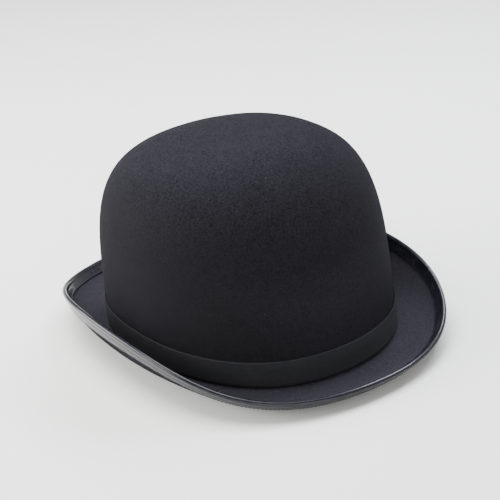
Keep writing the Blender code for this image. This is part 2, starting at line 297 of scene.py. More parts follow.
def dome_turns(first_rise, last_rise, count):
    """A column of turns between two rises, evenly spread by bearing."""
    bearing = np.linspace(bearing_at_rise(first_rise), bearing_at_rise(last_rise), count)[:, None]
    return np.arctan2(np.sin(bearing) ** (DOME_POWER / 2), np.cos(bearing) ** (DOME_POWER / 2))


def theta_from_side(along):
    """Angle round the oval, near +X, at this distance from the side's middle."""
    return np.arcsin(signed_power(along / HALF_LENGTH, OVAL_POWER / 2))


def theta_from_rear(across):
    """Angle round the oval, near +Y, at this distance from the rear's middle."""
    return QUARTER_TURN - np.arcsin(signed_power(across / HALF_WIDTH, OVAL_POWER / 2))


def ring_angles(count=ROUND):
    return np.linspace(0, FULL_TURN, count, endpoint=False)


def ring_run(skin, place):
    """Fine angles round one ring of a skin, and the distance along the ring to each of them."""
    fine = np.linspace(0, FULL_TURN, 2401)
    steps = np.linalg.norm(np.diff(skin(fine, place), axis=0), axis=-1)
    return fine, np.concatenate([[0], np.cumsum(steps)])


def even_thetas(skin, place, count):
    """Angles that step evenly by distance round one ring of a skin."""
    fine, run = ring_run(skin, place)
    return np.interp(np.arange(count) / count * run[-1], run, fine)


def ripple(theta, waves):
    """A smooth unevenness round the oval: the sum of (turns, phase, size) waves."""
    return sum(size * np.sin(turns * theta + phase) for turns, phase, size in waves)


def hump(position, middle, width, power=2):
    """A smooth rise to 1 at middle that fades out over about width to both sides."""
    return np.exp(-(((position - middle) / width) ** power))


def rounded_edge(distance, radius):
    """Share of the full thickness at this distance in from an edge that is rounded to radius."""
    return np.sqrt(1 - (1 - np.clip(distance / radius, 0, 1)) ** 2)


# --- Meshes ---------------------------------------------------------------------------------------


def distances(points, axis, wrap):
    """Distance along one axis of a grid of points, averaged over the other, from its start."""
    ends = np.take(points, [0], axis=axis)
    whole = np.concatenate([points, ends], axis=axis) if wrap else points
    steps = np.linalg.norm(np.diff(whole, axis=axis), axis=-1).mean(axis=1 - axis)
    return np.concatenate([[0], np.cumsum(steps)])


def grid_faces(rows, columns, wrap_rows, wrap_columns):
    """Quads of a grid, with the unwrapped row and column of each corner."""
    row = np.arange(rows if wrap_rows else rows - 1)[:, None, None]
    column = np.arange(columns if wrap_columns else columns - 1)[None, :, None]
    row = (row + np.array([0, 0, 1, 1])).repeat(column.shape[1], axis=1).reshape(-1, 4)
    column = (column + np.array([0, 1, 1, 0])).repeat(len(row) // column.shape[1], axis=0).reshape(-1, 4)
    return (row % rows) * columns + column % columns, row, column


def make_piece(name, vertices, faces, uvs, material):
    """A smooth mesh object with outward normals, and one UV pair for each corner of its faces."""
    mesh = bpy.data.meshes.new(name)
    mesh.from_pydata(vertices, [], faces)
    layer = mesh.uv_layers.new(name="cloth")
    layer.data.foreach_set("uv", np.asarray(uvs, np.float32).ravel())
    body = bmesh.new()
    body.from_mesh(mesh)
    bmesh.ops.recalc_face_normals(body, faces=body.faces)
    body.to_mesh(mesh)
    body.free()
    mesh.materials.append(material)
    mesh.shade_smooth()
    piece = bpy.data.objects.new(name, mesh)
    bpy.context.scene.collection.objects.link(piece)
    return piece


def loft(name, points, material, wrap=(True, True), poles=None):
    """Skin a grid of points: rows are rings. Poles close the first and the last ring with fans, and
    an unwrapped direction without poles is closed with flat ends. UVs are distances in metres."""
    rows, columns = points.shape[:2]
    faces, row, column = grid_faces(rows, columns, *wrap)
    across, around = distances(points, 0, wrap[0]), distances(points, 1, wrap[1])
    uvs = np.stack([around[column], across[row]], axis=-1).reshape(-1, 2).tolist()
    vertices = points.reshape(-1, 3).tolist()
    faces = faces.tolist()
    ends = [] if wrap[0] else [(0, 0.0), (rows - 1, across[-1])]
    for index, (end, height) in enumerate(ends):
        loop = [end * columns + step for step in range(columns)]
        if poles is None:
            faces.append(loop)
            uvs += [(around[step], height) for step in range(columns)]
            continue
        vertices.append(tuple(poles[index]))
        for step in range(columns):
            faces.append([loop[step], loop[(step + 1) % columns], len(vertices) - 1])
            uvs += [(around[step], height), (around[step + 1], height), (around[step], height)]
    return make_piece(name, vertices, faces, uvs, material)


def strip_points(skin, theta, place, outer, inner):
    """Rings of a closed strip: along its outer face and back along its inner face."""
    return np.concatenate([skin(theta, place, outer), skin(theta, place[::-1], inner[::-1])])


def many_tubes(name, centres, sideways, outward, radii, material):
    """One object of many short closed threads. Centres are [thread, section, xyz]; the other arrays
    give each section's two directions across it and its radius."""
    sides = 8
    turn = np.linspace(0, FULL_TURN, sides, endpoint=False)[:, None]
    spokes = np.cos(turn) * sideways[:, :, None] + np.sin(turn) * outward[:, :, None]
    points = centres[:, :, None] + spokes * radii[None, :, None, None]
    threads, sections = points.shape[:2]
    one, row, column = grid_faces(sections, sides, False, True)
    size = sections * sides
    caps = [list(range(sides)), list(range(size - sides, size))]
    faces = []
    for thread in range(threads):
        faces += (one + thread * size).tolist()
        faces += [[index + thread * size for index in cap] for cap in caps]
    side_step, section_step = MM / 4, MM / 3
    corner_uvs = np.stack([column * side_step, row * section_step], axis=-1).reshape(-1, 2).tolist()
    uvs = (corner_uvs + [(0.0, 0.0)] * (2 * sides)) * threads
    return make_piece(name, points.reshape(-1, 3).tolist(), faces, uvs, material)


def seam(name, skin, place, lift, side, pitch, radius, material):
    """A run of single stitches along a ring of a skin, standing off its cloth towards side, which is
    1 outside the felt and -1 inside or under it. Each stitch dips into the cloth at its ends."""
    fine, run = ring_run(skin, place)
    count = round(run[-1] / pitch)
    share = np.linspace(-1, 1, 7)
    half_stitch = 0.4  # of the pitch
    position = (np.arange(count)[:, None] + 0.5 + half_stitch * share) / count
    theta = np.interp(position * run[-1], run, fine)
    arch = 1.3 * radius * (1 - share**2)
    height = lift(theta) + side * arch
    centres = skin(theta, place, height)
    outward = skin(theta, place, height + MM) - centres
    outward /= np.linalg.norm(outward, axis=-1, keepdims=True)
    sideways = np.cross(np.gradient(centres, axis=1), outward)
    sideways /= np.linalg.norm(sideways, axis=-1, keepdims=True)
    radii = radius * np.sqrt(1 - (THREAD_TAPER * share) ** 2)
    return many_tubes(name, centres, sideways, outward, radii, material)


# --- Materials ------------------------------------------------------------------------------------


class Look:
    """One procedural material: a Principled BSDF and the nodes that feed it."""

    def __init__(self, name, roughness, **sockets):
        self.material = bpy.data.materials.new(name)
        self.material.use_nodes = True
        self.tree = self.material.node_tree
        self.shader = self.tree.nodes["Principled BSDF"]
        self.shader.inputs["Roughness"].default_value = roughness
        for socket, value in sockets.items():
            self.shader.inputs[socket.replace("_", " ")].default_value = value

    def add(self, kind, inputs=(), **settings):
        """A node with its settings, and its inputs linked or set by name or number."""
        node = self.tree.nodes.new(kind)
        for setting, value in settings.items():
            setattr(node, setting, value)
        for socket, value in dict(inputs).items():
            if isinstance(value, bpy.types.NodeSocket):
                self.tree.links.new(value, node.inputs[socket])
            else:
                node.inputs[socket].default_value = value
        return node

    def place(self, scale=(1, 1, 1), turn=(0, 0, 0)):
        """Object coordinates in metres, stretched and turned."""
        source = self.add("ShaderNodeTexCoord").outputs["Object"]
        mapping = self.add("ShaderNodeMapping", {"Vector": source, "Scale": scale, "Rotation": turn})
        return mapping.outputs["Vector"]

    def cloth(self):
        """The piece's own UVs: metres along it and metres across it."""
        split = self.add("ShaderNodeUVMap", uv_map="cloth").outputs["UV"]
        return self.add("ShaderNodeSeparateXYZ", {"Vector": split}).outputs

    def noise(self, size, where=None, detail=3.0, rough=0.55):
        """Noise with features of about this size in metres."""
        inputs = {"Vector": where or self.place(), "Scale": 1 / size, "Detail": detail, "Roughness": rough}
        return self.add("ShaderNodeTexNoise", inputs).outputs["Fac"]

    def maths(self, operation, first, second=0.0):
        return self.add("ShaderNodeMath", {0: first, 1: second}, operation=operation).outputs[0]

    def ribs(self, distance, pitch):
        """A rounded rib from 0 to 1, once every pitch along a distance."""
        angle = self.maths("MULTIPLY", distance, FULL_TURN / pitch)
        wave = self.maths("SINE", angle)
        return self.add("ShaderNodeMath", {0: wave, 1: 0.5, 2: 0.5}, operation="MULTIPLY_ADD").outputs[0]

    def spread(self, value, low, high, to_low=0.0, to_high=1.0):
        """A value between low and high, stretched and held between two others."""
        inputs = {"Value": value, 1: low, 2: high, 3: to_low, 4: to_high}
        return self.add("ShaderNodeMapRange", inputs).outputs[0]

    def colours(self, share, *colours):
        """From one colour to another by share. Each is three numbers or a linked colour."""
        linked = bpy.types.NodeSocket
        under, over = [one if isinstance(one, linked) else (*one, 1.0) for one in colours]
        return self.add("ShaderNodeMix", {0: share, 6: under, 7: over}, data_type="RGBA").outputs[2]

    def bump(self, height, depth, under=None):
        """Bump of this real depth in metres, over another bump's normal."""
        inputs = {"Height": height, "Distance": depth, "Strength": 1.0}
        if under:
            inputs["Normal"] = under
        return self.add("ShaderNodeBump", inputs).outputs["Normal"]

    def finish(self, colour=None, normal=None, roughness=None):
        for socket, value in (("Base Color", colour), ("Normal", normal), ("Roughness", roughness)):
            if value:
                self.tree.links.new(value, self.shader.inputs[socket])
        return self.material


def matted_fibres(look):
    """Thin ridges stretched along three directions and turned across each other."""
    matted = None
    for turn, stretch in ((0.0, (1, 1, 0.3)), (1.1, (0.3, 1, 1)), (2.2, (1, 0.3, 1))):
        where = look.place(stretch, (turn, 0.7 * turn, 0.4))
        ridge = look.maths("ABSOLUTE", look.maths("SUBTRACT", look.noise(1.2 * MM, where, 2.0), 0.5))
        fibre = look.spread(ridge, 0.0, 0.1, 1.0, 0.0)
        matted = look.maths("MAXIMUM", fibre, matted) if matted else fibre
    return matted


def felt_colour(look, tone):
    """Black with painted top light, lighter where it faces up and most on the brim, and a few specks of
    lint.
    """
    coordinates = look.add("ShaderNodeTexCoord").outputs
    upward = look.add("ShaderNodeSeparateXYZ", {"Vector": coordinates["Normal"]}).outputs["Z"]
    height = look.add("ShaderNodeSeparateXYZ", {"Vector": coordinates["Object"]}).outputs["Z"]
    black = look.colours(tone, (0.0052, 0.0052, 0.0058), (0.0112, 0.011, 0.013))
    painted_top_light = look.colours(tone, (0.001, 0.001, 0.0014), (0.021, 0.02, 0.0252))
    painted_brim_light = look.colours(tone, (0.015, 0.0144, 0.0182), (0.037, 0.0352, 0.0445))
    lint = (0.09, 0.09, 0.1)
    # Painted top light: the felt is painted lighter the more it faces up.
    colour = look.colours(look.spread(upward, 0.1, 0.95), black, painted_top_light)
    # More painted top light: the brim's upward faces are painted lighter still.
    on_brim = look.spread(height, 0.4 * CROWN_HEIGHT, 0.6 * CROWN_HEIGHT, 1.0, 0.0)
    brim_light_mask = look.maths("MULTIPLY", on_brim, look.spread(upward, 0.1, 0.55))
    colour = look.colours(brim_light_mask, colour, painted_brim_light)
    speck = look.spread(look.noise(1.4 * MM, detail=0.0), 0.88, 0.895)
    return look.colours(look.maths("MULTIPLY", speck, 0.4), colour, lint)


def felt_look():
    """Black wool felt: matted fibres, a soft nap and the clouding of an old hat."""
    look = Look("wool_felt", 0.95, Specular_IOR_Level=0.02, Sheen_Weight=0.025, Sheen_Roughness=0.45)
    look.shader.inputs["Sheen Tint"].default_value = (0.72, 0.7, 0.86, 1.0)
    matted = matted_fibres(look)
    nap = look.noise(0.8 * MM, detail=3.0, rough=0.65)
    cloudy = look.noise(14 * MM, detail=4.0, rough=0.6)
    grain = look.maths("MULTIPLY", look.noise(1.3 * MM, detail=3.0, rough=0.7), 1.4)
    grain = look.maths("ADD", grain, look.maths("MULTIPLY", matted, 0.45))
    tone = look.spread(look.maths("ADD", grain, look.maths("MULTIPLY", cloudy, 0.12)), 0.65, 1.4)
    normal = look.bump(cloudy, 0.25 * MM)
    normal = look.bump(nap, 0.35 * MM, normal)
    normal = look.bump(matted, 0.12 * MM, normal)
    return look.finish(felt_colour(look, tone), normal, look.spread(tone, 0.0, 1.0, 0.86, 1.0))


def ribbon_look():
    """Black grosgrain: fine ribs across the ribbon, crossed by its threads and softened by fuzz."""
    look = Look("grosgrain_ribbon", 0.7, Specular_IOR_Level=0.06, Sheen_Weight=0.03, Sheen_Roughness=0.45)
    along, across, _ = look.cloth()
    rib = look.ribs(along, 0.62 * MM)
    thread = look.ribs(across, 0.22 * MM)
    fuzz = look.noise(3 * MM, detail=4.0)
    tone = look.maths("MULTIPLY", rib, look.spread(fuzz, 0.3, 0.7, 0.6, 1.0))
    colour = look.colours(tone, (0.008, 0.008, 0.009), (0.033, 0.033, 0.0375))
    normal = look.bump(thread, 0.02 * MM)
    normal = look.bump(rib, 0.09 * MM, normal)
    return look.finish(colour, normal, look.spread(fuzz, 0.3, 0.7, 0.6, 0.78))


def satin_tape_look():
    """Black satin tape: long floats of thread along it, which shine in streaks."""
    look = Look("satin_tape", 0.25, IOR=1.22, Anisotropic=0.3)
    look.shader.inputs["Coat Weight"].default_value = 0.25
    look.shader.inputs["Coat Roughness"].default_value = 0.1
    along, across, _ = look.cloth()
    float_thread = look.ribs(across, 0.28 * MM)
    bind = look.ribs(look.maths("ADD", along, look.maths("MULTIPLY", across, 2.0)), 0.9 * MM)
    wear = look.noise(5 * MM, detail=4.0, rough=0.6)
    colour = look.colours(look.spread(wear, 0.35, 0.7), (0.006, 0.006, 0.009), (0.014, 0.014, 0.02))
    normal = look.bump(bind, 0.003 * MM)
    normal = look.bump(float_thread, 0.004 * MM, normal)
    return look.finish(colour, normal, look.spread(wear, 0.3, 0.7, 0.2, 0.28))


def thread_look(name, dark, light):
    """Two-ply thread: a twist along it."""
    look = Look(name, 0.6, Specular_IOR_Level=0.2)
    along, across, _ = look.cloth()
    ply = look.ribs(look.maths("ADD", along, across), 0.6 * MM)
    colour = look.colours(ply, dark, light)
    return look.finish(colour, look.bump(ply, 0.06 * MM), look.spread(ply, 0.0, 1.0, 0.65, 0.45))


def leather_look():
    """Brown sweatband leather: a pebbled grain with dark creases between, and uneven stains."""
    look = Look("sweatband_leather", 0.45, Specular_IOR_Level=0.45)
    look.shader.inputs["Coat Weight"].default_value = 0.12
    look.shader.inputs["Coat Roughness"].default_value = 0.35
    cells = {"Vector": look.place(), "Scale": 1 / (1.1 * MM), "Randomness": 1.0}
    pore = look.add("ShaderNodeTexVoronoi", cells, feature="DISTANCE_TO_EDGE").outputs["Distance"]
    pebble = look.spread(pore, 0.0, 0.35)
    stain = look.noise(18 * MM, detail=5.0, rough=0.6)
    colour = look.colours(look.spread(stain, 0.3, 0.7), (0.075, 0.033, 0.015), (0.19, 0.092, 0.043))
    crease = look.spread(pebble, 0.0, 0.3, 0.55, 0.0)
    colour = look.colours(crease, colour, (0.045, 0.02, 0.01))
    normal = look.bump(stain, 0.3 * MM)
    normal = look.bump(pebble, 0.07 * MM, normal)
    return look.finish(colour, normal, look.spread(stain, 0.3, 0.7, 0.52, 0.38))


def reed_look():
    """The reed's thin glazed leather, drawn tight over its core."""
    look = Look("reed_leather", 0.38, Specular_IOR_Level=0.5)
    along, _, _ = look.cloth()
    crease = look.ribs(along, 2.3 * MM)
    stain = look.noise(9 * MM, detail=4.0)
    colour = look.colours(look.spread(stain, 0.3, 0.7), (0.045, 0.02, 0.01), (0.12, 0.055, 0.026))
    normal = look.bump(look.maths("MULTIPLY", crease, stain), 0.12 * MM)
    return look.finish(colour, normal, look.spread(stain, 0.3, 0.7, 0.45, 0.32))


def lining_look():
    """Black satin lining with a fine diagonal twill and a soft violet sheen."""
    look = Look("lining_satin", 0.36, Specular_IOR_Level=0.6, Anisotropic=0.3, Sheen_Weight=0.25)
    look.shader.inputs["Sheen Tint"].default_value = (0.7, 0.66, 0.9, 1.0)
    along, across, _ = look.cloth()
    twill = look.ribs(look.maths("ADD", along, across), 0.45 * MM)
    crumple = look.noise(16 * MM, detail=5.0, rough=0.55)
    colour = look.colours(look.spread(crumple, 0.3, 0.7), (0.012, 0.012, 0.016), (0.03, 0.029, 0.04))
    normal = look.bump(crumple, 0.8 * MM)
    normal = look.bump(twill, 0.018 * MM, normal)
    return look.finish(colour, normal, look.spread(crumple, 0.3, 0.7, 0.42, 0.3))


def label_look():
    """White woven label: warp and weft, a little uneven and yellowed."""
    look = Look("woven_label", 0.75, Specular_IOR_Level=0.35, Sheen_Weight=0.25, Sheen_Roughness=0.5)
    along, across, _ = look.cloth()
    weave = look.maths("MULTIPLY", look.ribs(along, 0.34 * MM), look.ribs(across, 0.34 * MM))
    age = look.noise(7 * MM, detail=4.0)
    colour = look.colours(look.spread(age, 0.3, 0.75), (0.74, 0.72, 0.67), (0.62, 0.58, 0.49))
    shade = look.spread(weave, 0.0, 0.5, 0.3, 0.0)
    colour = look.colours(shade, colour, (0.4, 0.38, 0.33))
    return look.finish(colour, look.bump(weave, 0.08 * MM), look.spread(age, 0.3, 0.7, 0.7, 0.85))


def wire_look():
    """Drawn spring steel, with faint die lines and a little tarnish."""
    look = Look("drawn_steel", 0.3, Metallic=1.0)
    tarnish = look.noise(6 * MM, detail=5.0, rough=0.65)
    lines = look.noise(0.3 * MM, look.place((1, 1, 0.1)))
    colour = look.colours(look.spread(tarnish, 0.35, 0.75), (0.5, 0.5, 0.52), (0.3, 0.27, 0.24))
    return look.finish(colour, look.bump(lines, 0.02 * MM), look.spread(tarnish, 0.3, 0.8, 0.24, 0.5))


def floor_look():
    """Pale matt paper, faintly mottled."""
    look = Look("pale_floor", 0.9, Specular_IOR_Level=0.1)
    mottle = look.noise(0.4, detail=2.0)
    return look.finish(look.colours(mottle, (0.84, 0.84, 0.8), (0.88, 0.88, 0.84)))


# --- The pieces -----------------------------------------------------------------------------------


def crown_unevenness(theta, turn):
    """The small hollows and swells that hand blocking leaves in the crown."""
    swell = ripple(theta, ((2, 0.6, 0.16 * MM), (5, 2.1, 0.10 * MM), (9, 4.0, 0.05 * MM)))
    return swell * np.sin(3.1 * turn + 0.8 * np.sin(2 * theta)) * np.sin(turn)


def make_felt(material):
    """Crown and brim in one: the outer face, then the under and inner face."""
    theta = ring_angles()
    runs = np.linspace(BRIM_RUN, 0, 36)[:, None]
    shares = np.linspace(1, 0, 8)[1:, None]
    heights = np.linspace(2 * BREAK_RADIUS, WALL_RISE * CROWN_HEIGHT, 14)[:, None]
    turns = dome_turns(DOME_RISE, NEAR_APEX, 64)
    faces = []
    for lift in (0.0, -FELT):
        rings = [
            brim_skin(theta, runs, lift),
            fillet_skin(theta, shares, lift),
            wall_skin(theta, heights, lift),
            crown_skin(theta, turns, lift + crown_unevenness(theta, turns)),
        ]
        faces.append(np.concatenate(rings))
    points = np.concatenate([faces[0][::-1], faces[1]])
    felt = loft("felt_crown_and_brim", points, material, (False, True), (apex(0.0), apex(-FELT)))
    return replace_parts(felt, "felt_body")


def make_band(material):
    """Ribbon with a woven selvedge bead along both its edges. Its top edge gapes a little in front."""
    theta = even_thetas(wall_skin, BAND_HEIGHT, 2 * ROUND)
    share = np.linspace(0, 1, 25)[:, None]
    edge = np.minimum(share, 1 - share) * BAND_HEIGHT
    rounded = rounded_edge(edge, 0.3 * MM)
    bead = 0.06 * MM * hump(edge, 0.5 * MM, 0.35 * MM)
    gape = BAND_GAPE * hump(theta, BAND_GAPE_AT, BAND_GAPE_WIDTH) * share**4
    wave = ripple(theta, ((7, 0.3, 0.04 * MM), (13, 1.9, 0.03 * MM))) * share
    height = BREAK_RADIUS + GAP + share * BAND_HEIGHT
    middle = GAP + gape + wave + RIBBON / 2
    outer = middle + RIBBON / 2 * rounded + bead
    inner = middle - RIBBON / 2 * rounded
    points = strip_points(wall_skin, theta, height, outer, inner)
    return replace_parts(loft("ribbon_band", points, material), "hat_band")


def pucker(theta):
    """How the tape gathers between its stitches: small swells, largest at the wearer's right front."""
    swell = ripple(theta, ((67, 0.4, 0.5), (103, 2.2, 0.4), (151, 1.1, 0.2)))
    return swell * (PUCKER_LEAST + (1 - PUCKER_LEAST) * hump(theta, PUCKER_AT, PUCKER_WIDTH))


def leg_profile(distance):
    """How far the tape's leg swells over its flat thickness, by distance from its sewn edge."""
    hem = 0.25 * MM * hump(distance, 0.75 * MM, 0.6 * MM)
    neck = 0.22 * MM * hump(distance, TAPE_LEG - 0.9 * MM, 0.8 * MM)
    return hem - neck


def leg_foot(distance):
    """Lift of one leg's inner face off the felt: its sewn edge is pressed down to the felt."""
    return GAP - 0.25 * MM * hump(distance, 0.0, 0.9 * MM)


def leg_lift(theta, distance):
    """Lift of the upper leg's outer face: it rolls down to the felt at its sewn edge."""
    gather = 0.16 * MM * pucker(theta) * hump(distance, 1.6 * MM, 1.8 * MM)
    thickness = rounded_edge(distance, TAPE) * (TAPE + leg_profile(distance) + gather)
    return leg_foot(distance) + thickness


def lower_leg_lift(theta, distance):
    """Lift of the lower leg's outer face, under the felt, where it puckers at other places."""
    return -FELT - leg_lift(theta + LOWER_LEG_TURN, distance)


def make_binding(material):
    """Folded tape: the upper leg, the bead round the wire, the lower leg, and the same inside."""
    theta = even_thetas(brim_skin, BRIM_RUN, 3 * ROUND)
    distance = (np.linspace(0, 1, 18) ** 1.3 * TAPE_LEG)[:, None]
    runs = BRIM_RUN - TAPE_LEG + distance
    turns = np.linspace(0, math.pi, 15)[1:-1, None]
    inner_radius = FELT / 2 + GAP
    outer_radius = inner_radius + TAPE + 0.1 * MM * np.sin(turns) * (1 + 0.35 * pucker(theta))
    foot = leg_foot(distance)
    rings = [
        brim_skin(theta, runs, leg_lift(theta, distance)),
        edge_skin(theta, outer_radius, turns),
        brim_skin(theta, runs, lower_leg_lift(theta, distance))[::-1],
        brim_skin(theta, runs, -FELT - foot),
        edge_skin(theta, inner_radius, turns[::2])[::-1],
        brim_skin(theta, runs, foot)[::-1],
    ]
    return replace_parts(loft("satin_edge_binding", np.concatenate(rings), material), "brim_binding")


def make_binding_seams(material):
    """Single stitches along the hem of each leg of the tape."""
    run = BRIM_RUN - TAPE_LEG + STITCH_INSET
    thread = (BINDING_STITCH_PITCH, BINDING_STITCH_RADIUS, material)

    def top(theta):
        return leg_lift(theta, STITCH_INSET)

    def under(theta):
        return lower_leg_lift(theta, STITCH_INSET)

    upper = seam("upper_binding_stitches", brim_skin, run, top, 1, *thread)
    lower = seam("lower_binding_stitches", brim_skin, run, under, -1, *thread)
    return [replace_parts(upper, "binding_stitch_upper"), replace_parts(lower, "binding_stitch_lower")]


def bow_path(half, radius):
    """Distances along a bow and lifts off its back: out under one wing, round its end, back over
    both wings, round the other end and in again."""
    out = np.linspace(0, half - radius, 22)
    fold = np.linspace(-QUARTER_TURN, QUARTER_TURN, 9)[1:-1]
    end = half - radius + radius * np.cos(fold)
    back = np.zeros_like(out)
    front = back + 2 * radius
    along = [out, end, out[::-1], -out[1:], -end, -out[:0:-1]]
    lift = [back, radius * (1 + np.sin(fold)), front, front[1:], radius * (1 - np.sin(fold)), back[1:]]
    return np.concatenate(along), np.concatenate(lift)


def ribbon_loops(name, place, length, height, low, high, ribbon, waist, material):
    """A flat bow: one strip that runs out under each wing, folds at its end and comes back over.
    place(along, across, lift) gives a point, and low and high are the lifts of its two layers."""
    half = length / 2
    along, lift = bow_path(half, (high - low) / 2)
    over = lift / (high - low)
    spread = np.minimum(np.abs(along) / (half / 2), 1.0)
    width = height / 2 * (waist + (WING_HEIGHT - waist) * np.sin(spread * QUARTER_TURN) ** 2)
    belly = 0.35 * (high - low) * over * np.sin(np.pi * np.minimum(np.abs(along) / half, 1)) ** 2
    share = np.linspace(-1, 1, 19)
    pleats = 0.22 * MM * over[:, None] * np.cos(4.5 * np.pi * share) * (1 - spread[:, None]) ** 1.2
    middle = (lift + belly)[:, None] + pleats
    tangent = np.stack([np.gradient(along), np.gradient(lift)], axis=-1)
    tangent /= np.linalg.norm(tangent, axis=-1, keepdims=True) + 1e-9
    across = width[:, None] * share
    rounded = ribbon / 2 * np.sqrt(1 - (0.9 * share) ** 10)
    faces = []
    for side in (1, -1):
        x = along[:, None] + side * rounded * tangent[:, 1:]
        z = low + middle - side * rounded * tangent[:, :1]
        faces.append(np.stack([x, across, z], axis=-1)[:, ::side])
    flat = np.concatenate(faces, axis=1)
    return loft(name, place(flat[..., 0], flat[..., 1], flat[..., 2]), material)


def ribbon_knot(name, place, length, half_height, low, high, ribbon, material):
    """The loop of ribbon round a bow's waist, creased along its length."""
    turn = np.linspace(0, FULL_TURN, 64, endpoint=False)
    columns = 13
    share = np.concatenate([np.linspace(-1, 1, columns), np.linspace(1, -1, columns)])
    outside = np.concatenate([np.ones(columns), np.zeros(columns)])
    crease = 0.18 * MM * np.cos(3 * np.pi * share)
    grown = (outside * (ribbon * (1 - 0.3 * share**6) + crease))[None, :]
    squareness = 0.35
    across = signed_power(np.cos(turn), squareness)[:, None] * (half_height + grown)
    lift = (low + high) / 2 + signed_power(np.sin(turn), squareness)[:, None] * ((high - low) / 2 + grown)
    pinch = 1 - 0.12 * np.abs(np.sin(turn))[:, None]
    along = length / 2 * share[None, :] * pinch
    return loft(name, place(along, across, lift), material)


def make_band_bow(material):
    """The flat bow on the band, on the wearer's left, and its knot."""
    middle = BREAK_RADIUS + GAP + BAND_HEIGHT / 2

    def place(along, across, lift):
        return wall_skin(theta_from_side(along + BOW_SHIFT), middle + across, lift)

    base = GAP + RIBBON + GAP + TAPE + GAP
    layers = (base + 0.3 * MM, base + 1.15 * MM)
    bow = ribbon_loops(
        "band_bow_loops", place, BOW_LENGTH, BAND_HEIGHT, *layers, RIBBON, BOW_WAIST, material
    )
    half_height = BAND_HEIGHT / 2 * (BOW_WAIST + 0.08)
    layers = (base - 0.1 * MM, base + 2.1 * MM)
    knot = ribbon_knot("band_bow_knot", place, KNOT_LENGTH, half_height, *layers, TAPE, material)
    return [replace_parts(bow, "band_bow"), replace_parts(knot, "band_knot")]


def make_rear_bow(material):
    """The small bow inside the rear of the sweatband, and its knot."""
    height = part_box("sweatband_bow")[1].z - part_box("sweatband_bow")[0].z
    middle = SWEATBAND_HIGH - height

    def place(across, upward, lift):
        return wall_skin(theta_from_rear(across), middle + upward, SWEATBAND_INNER - GAP - lift)

    layers = (0.2 * MM, 0.75 * MM)
    bow = ribbon_loops("rear_bow_loops", place, 20 * MM, height, *layers, 0.3 * MM, 0.5, material)
    layers = (0.02 * MM, 1.15 * MM)
    knot = ribbon_knot("rear_bow_knot", place, 4 * MM, 0.3 * height, *layers, 0.25 * MM, material)
    return [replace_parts(bow, "sweatband_bow"), knot]


def make_sweatband(material):
    """Leather strip that waves a little, most at its top edge, with a tooled groove below it."""
    theta = even_thetas(wall_skin, SWEATBAND_HIGH, 2 * ROUND)
    share = np.linspace(0, 1, 25)[:, None]
    width = SWEATBAND_HIGH - SWEATBAND_LOW
    height = SWEATBAND_LOW + share * width
    edge = np.minimum(share, 1 - share) * width
    half_leather = LEATHER / 2 * (0.25 + 0.75 * rounded_edge(edge, 0.6 * MM))
    groove = 0.18 * MM * hump(height, SWEATBAND_HIGH - 3.2 * MM, 0.5 * MM)
    wave = share**2 * ripple(theta, ((4, 0.5, 0.14 * MM), (7, 2.0, 0.09 * MM), (15, 1.0, 0.04 * MM)))
    middle = SWEATBAND_MIDDLE + wave
    points = strip_points(wall_skin, theta, height, middle + half_leather, middle - half_leather + groove)
    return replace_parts(loft("leather_sweatband", points, material), "sweatband")


def make_reed(material):
    """The reed along the sweatband's lower edge: a cord in thin leather with even creases."""
    theta = even_thetas(wall_skin, SWEATBAND_HIGH, 2 * ROUND)
    turn = np.linspace(0, FULL_TURN, 16, endpoint=False)[:, None]
    radius = REED_RADIUS * (1 - 0.05 * np.cos(REED_CREASES * theta))
    lift = SWEATBAND_MIDDLE + radius * np.sin(turn)
    points = wall_skin(theta, REED_HEIGHT + radius * np.cos(turn), lift)
    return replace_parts(loft("covered_reed", points, material), "sweatband_reed")


def make_sweatband_seam(material):
    """The stitches that join the sweatband to its reed and to the felt."""

    def face(theta):
        return np.full_like(theta, SWEATBAND_INNER - 0.05 * MM)

    thread = (SWEATBAND_STITCH_PITCH, SWEATBAND_STITCH_RADIUS, material)
    stitches = seam("sweatband_stitches", wall_skin, SWEATBAND_STITCH_HEIGHT, face, -1, *thread)
    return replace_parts(stitches, "sweatband_stitch")


def make_side_lining(material):
    """The lining's wall, smooth behind the sweatband and gathered from there up to the tip's seam."""
    theta = even_thetas(wall_skin, SWEATBAND_HIGH, 3 * ROUND)
    heights = np.linspace(LINING_LOW, SWEATBAND_HIGH, 8)[:, None]
    lower = turn_at_rise(heights / (CROWN_HEIGHT + dip(theta)))
    upper = dome_turns(LINING_DOME_RISE, TIP_RISE, 22) + 0 * theta
    turns = np.concatenate([lower, upper])
    free = np.clip((turns - lower[-1]) / (turn_at_rise(TIP_RISE) - lower[-1]), 0, 1)
    gathers = ripple(theta, ((46, 0.2, 0.5), (71, 1.7, 0.35), (29, 0.9, 0.3)))
    lift = INSIDE - 0.45 * MM * free**0.5 * (1 + gathers)
    points = strip_points(crown_skin, theta, turns, lift, lift - LINING)
    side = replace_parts(loft("satin_lining_side", points, material), "lining_side")
    return side


def make_tip_lining(material):
    """The lining's oval tip, slack and lightly gathered between its middle and its seam."""
    theta = ring_angles()
    turns = dome_turns(PIPING_RISE + (PIPING_RADIUS + GAP) / CROWN_HEIGHT, NEAR_APEX, 40)
    slack = 0.5 * MM * np.sin(2 * turns) * (1 + 0.8 * ripple(theta, ((38, 0.1, 0.5), (57, 1.2, 0.4))))
    outer, inner = [crown_skin(theta, turns, INSIDE - depth - slack) for depth in (0.0, LINING)]
    poles = (apex(INSIDE), apex(INSIDE - LINING))
    points = np.concatenate([outer[::-1], inner])
    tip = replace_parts(loft("satin_lining_tip", points, material, (False, True), poles), "lining_tip")
    return tip


